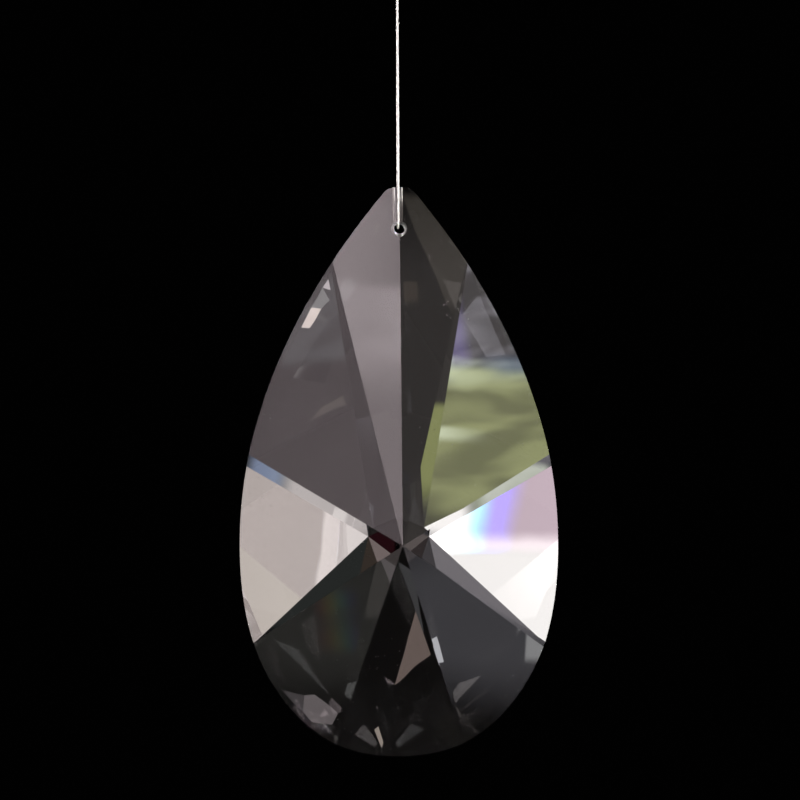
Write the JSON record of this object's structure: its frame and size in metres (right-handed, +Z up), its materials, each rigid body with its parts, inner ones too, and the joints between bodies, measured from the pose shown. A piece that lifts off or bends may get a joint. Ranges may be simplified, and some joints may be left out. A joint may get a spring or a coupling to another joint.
{
  "type": "crystal suncatcher",
  "caption": "Clear faceted teardrop crystal on a thin doubled line with a knot and a hanging loop.",
  "frame": {"origin": "inside of the top of the hanging loop, where a hook bears", "axes": "+Z up along the line, -Y the front face of the crystal, +X to its right seen from the front"},
  "size_m": [0.0426, 0.0244, 0.1128],
  "materials": {
    "crystal": "polished clear",
    "line": "smooth monofilament"
  },
  "bodies": {
    "root": {"crystal_drop": "crystal", "hanging_line": "line", "hanging_knot": "line", "hanging_loop": "line"}
  },
  "joints": []
}
